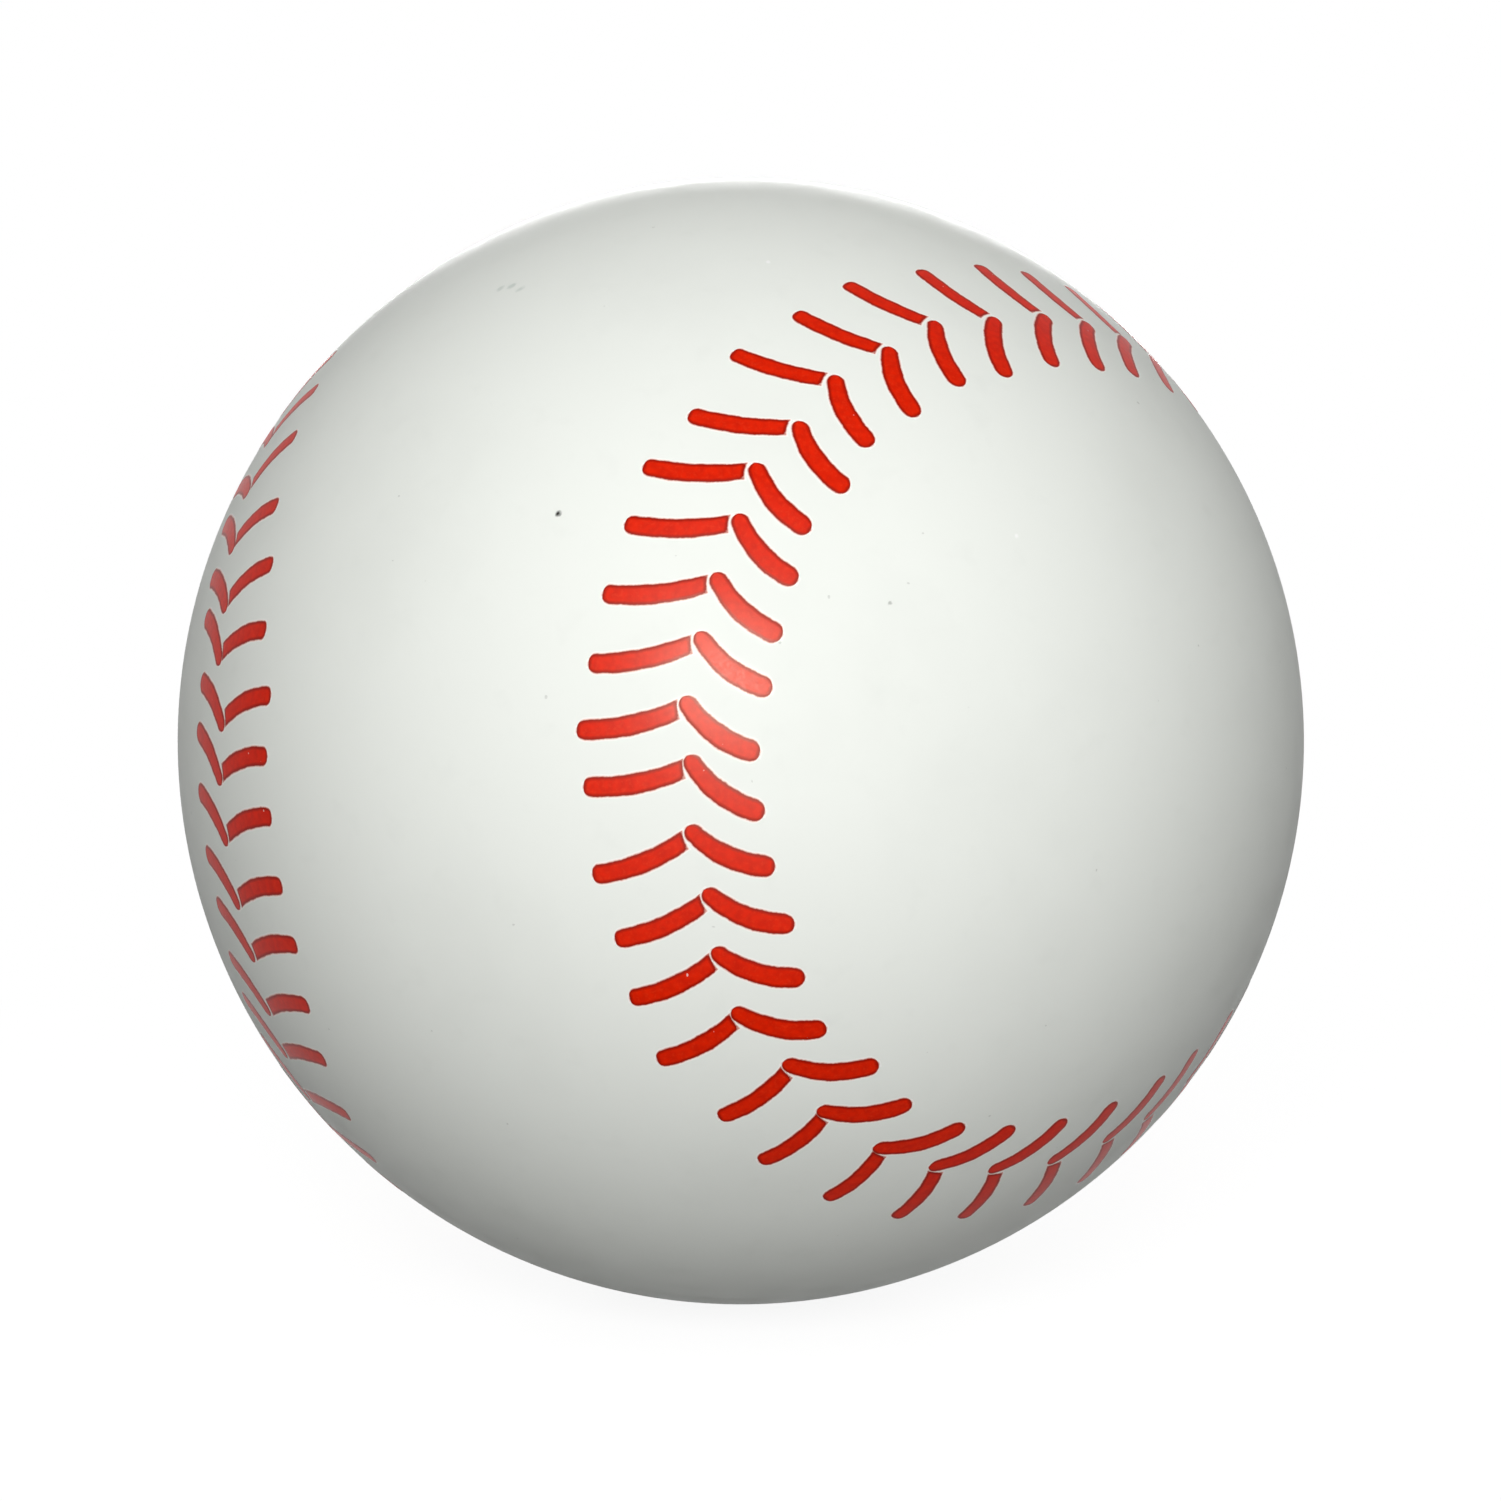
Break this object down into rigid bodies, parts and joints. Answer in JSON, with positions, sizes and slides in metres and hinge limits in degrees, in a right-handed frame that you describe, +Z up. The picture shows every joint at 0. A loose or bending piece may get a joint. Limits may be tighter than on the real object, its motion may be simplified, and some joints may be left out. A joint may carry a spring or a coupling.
{
  "type": "rubber baseball",
  "caption": "Hollow rubber practice baseball with a smooth white cover, a red stitching pattern printed on it, a dark rubber liner and a sealed air plug.",
  "frame": {"origin": "centre of the ball", "axes": "+Z up, square to the level joint of the cover; the liner's upright joint lies in the YZ plane and its plug on -X; the row of stitches that the picture shows in the middle faces -Y"},
  "size_m": [0.073, 0.0733, 0.073],
  "materials": {
    "cover_rubber": "satin",
    "liner_rubber": "matte",
    "joint_cement": "matte",
    "plug_rubber": "matte",
    "stitch_ink": "satin"
  },
  "bodies": {
    "root": {"cover_upper_half": "cover_rubber", "cover_lower_half": "cover_rubber", "liner_left_half": "liner_rubber", "liner_right_half": "liner_rubber", "liner_cement_ring": "joint_cement", "air_plug": "plug_rubber", "stitch_print_01": "stitch_ink", "stitch_print_02": "stitch_ink", "stitch_print_03": "stitch_ink", "stitch_print_04": "stitch_ink", "stitch_print_05": "stitch_ink", "stitch_print_06": "stitch_ink", "stitch_print_07": "stitch_ink", "stitch_print_08": "stitch_ink", "stitch_print_09": "stitch_ink", "stitch_print_10": "stitch_ink", "stitch_print_11": "stitch_ink", "stitch_print_12": "stitch_ink", "stitch_print_13": "stitch_ink", "stitch_print_14": "stitch_ink", "stitch_print_15": "stitch_ink", "stitch_print_16": "stitch_ink", "stitch_print_17": "stitch_ink", "stitch_print_18": "stitch_ink"}
  },
  "joints": []
}
